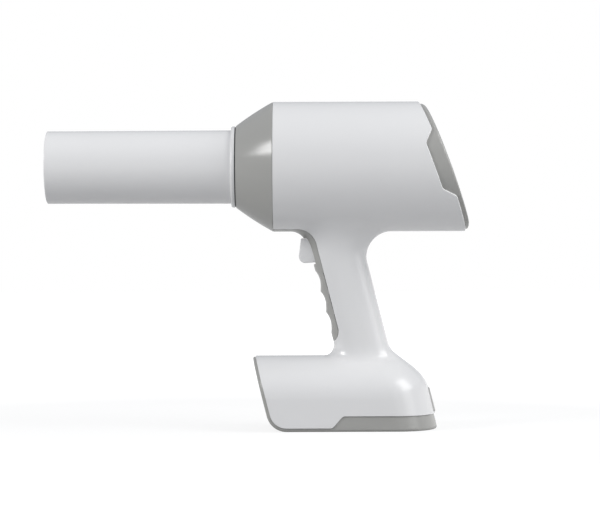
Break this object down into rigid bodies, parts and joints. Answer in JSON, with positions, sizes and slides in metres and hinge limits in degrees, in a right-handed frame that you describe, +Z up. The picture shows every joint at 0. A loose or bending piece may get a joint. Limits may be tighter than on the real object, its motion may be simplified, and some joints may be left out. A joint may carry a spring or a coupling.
{
  "type": "handheld dental x-ray unit",
  "caption": "Pistol-shaped X-ray unit: open cylindrical beam cone, tapered nose, round body with a slanted control face, trigger handle and boot-shaped battery base.",
  "frame": {"origin": "middle of the bounding box in plan, on the surface that the sole stands on", "axes": "+X from the beam cone's tip to the operator face, +Z up, Y across; the housing parts on Y = 0"},
  "size_m": [0.3776, 0.1166, 0.2935],
  "materials": {
    "white_shell": "white ABS housing, fine gloss",
    "grey_shell": "warm grey ABS, satin gloss",
    "grey_rubber": "grey thermoplastic rubber",
    "dark_rubber": "dark rubber seal",
    "steel": "zinc plated steel",
    "brass": "brass",
    "aluminium": "bare aluminium",
    "lead": "painted lead alloy",
    "copper": "copper",
    "glass": "clear glass",
    "display_glass": "black polycarbonate window",
    "epoxy": "cast epoxy resin",
    "circuit_board": "solder-masked glass epoxy",
    "black_plastic": "black moulded plastic",
    "cell_wrap": "shrink-wrapped cells",
    "key_plastic": "white key caps"
  },
  "bodies": {
    "housing": {"shell_left": "white_shell", "shell_right": "white_shell", "shell_screws": "steel", "shell_inserts": "brass", "nose_ring": "grey_shell", "cone_tube": "white_shell", "seal_ring": "dark_rubber", "cone_lock_ring": "steel", "beam_window": "display_glass", "filter_disc": "aluminium", "collimator_disc": "lead", "tank_shell": "aluminium", "tank_lid": "aluminium", "tank_seal": "dark_rubber", "tank_screws": "steel", "tank_chassis": "epoxy", "tube_envelope": "glass", "tube_anode": "copper", "tube_cathode": "steel", "tube_shield": "lead", "hv_core": "black_plastic", "hv_winding": "copper", "hv_multiplier": "epoxy", "inverter_board": "circuit_board", "board_screws": "steel", "heat_sink": "aluminium", "power_capacitors": "cell_wrap", "rear_cover": "grey_shell", "display_lens": "display_glass", "lcd_module": "black_plastic", "keypad_mat": "grey_rubber", "control_board": "circuit_board", "panel_screws": "steel", "buzzer": "black_plastic", "grip_strip": "grey_shell", "trigger_pin": "steel", "trigger_frame": "black_plastic", "trigger_switch": "black_plastic", "harness": "black_plastic", "trigger_lead": "black_plastic", "base_cover": "grey_shell", "base_screws": "steel", "battery_cells": "cell_wrap", "battery_holder": "black_plastic", "battery_board": "circuit_board", "charge_socket": "steel", "port_anchor": "grey_rubber"},
    "trigger_body": {"trigger": "white_shell", "trigger_spring": "steel"},
    "port_flap": {"port_cover": "grey_rubber"},
    "key_expose_body": {"key_expose": "key_plastic"},
    "key_up_body": {"key_up": "key_plastic"},
    "key_down_body": {"key_down": "key_plastic"},
    "key_mode_body": {"key_mode": "key_plastic"}
  },
  "joints": [
    {"name": "trigger_pull", "type": "hinge", "parent": "housing", "child": "trigger_body", "pos_m": [0.05499, 0, 0.1755], "axis": [0, -1, 0], "range_deg": [0, 8], "stiffness_Nm_per_rad": 0.6, "springref_deg": -20.05},
    {"name": "port_flap_hinge", "type": "hinge", "parent": "housing", "child": "port_flap", "pos_m": [0.15234, 0, 0.03662], "axis": [0, -1, 0], "range_deg": [0, 95]},
    {"name": "key_expose_press", "type": "slide", "parent": "housing", "child": "key_expose_body", "axis": [-0.9409, 0, -0.3387], "range_m": [0, 0.0008], "stiffness_N_per_m": 600, "springref_m": -0.001},
    {"name": "key_up_press", "type": "slide", "parent": "housing", "child": "key_up_body", "axis": [-0.9409, 0, -0.3387], "range_m": [0, 0.0008], "stiffness_N_per_m": 600, "springref_m": -0.001},
    {"name": "key_down_press", "type": "slide", "parent": "housing", "child": "key_down_body", "axis": [-0.9409, 0, -0.3387], "range_m": [0, 0.0008], "stiffness_N_per_m": 600, "springref_m": -0.001},
    {"name": "key_mode_press", "type": "slide", "parent": "housing", "child": "key_mode_body", "axis": [-0.9409, 0, -0.3387], "range_m": [0, 0.0008], "stiffness_N_per_m": 600, "springref_m": -0.001}
  ]
}
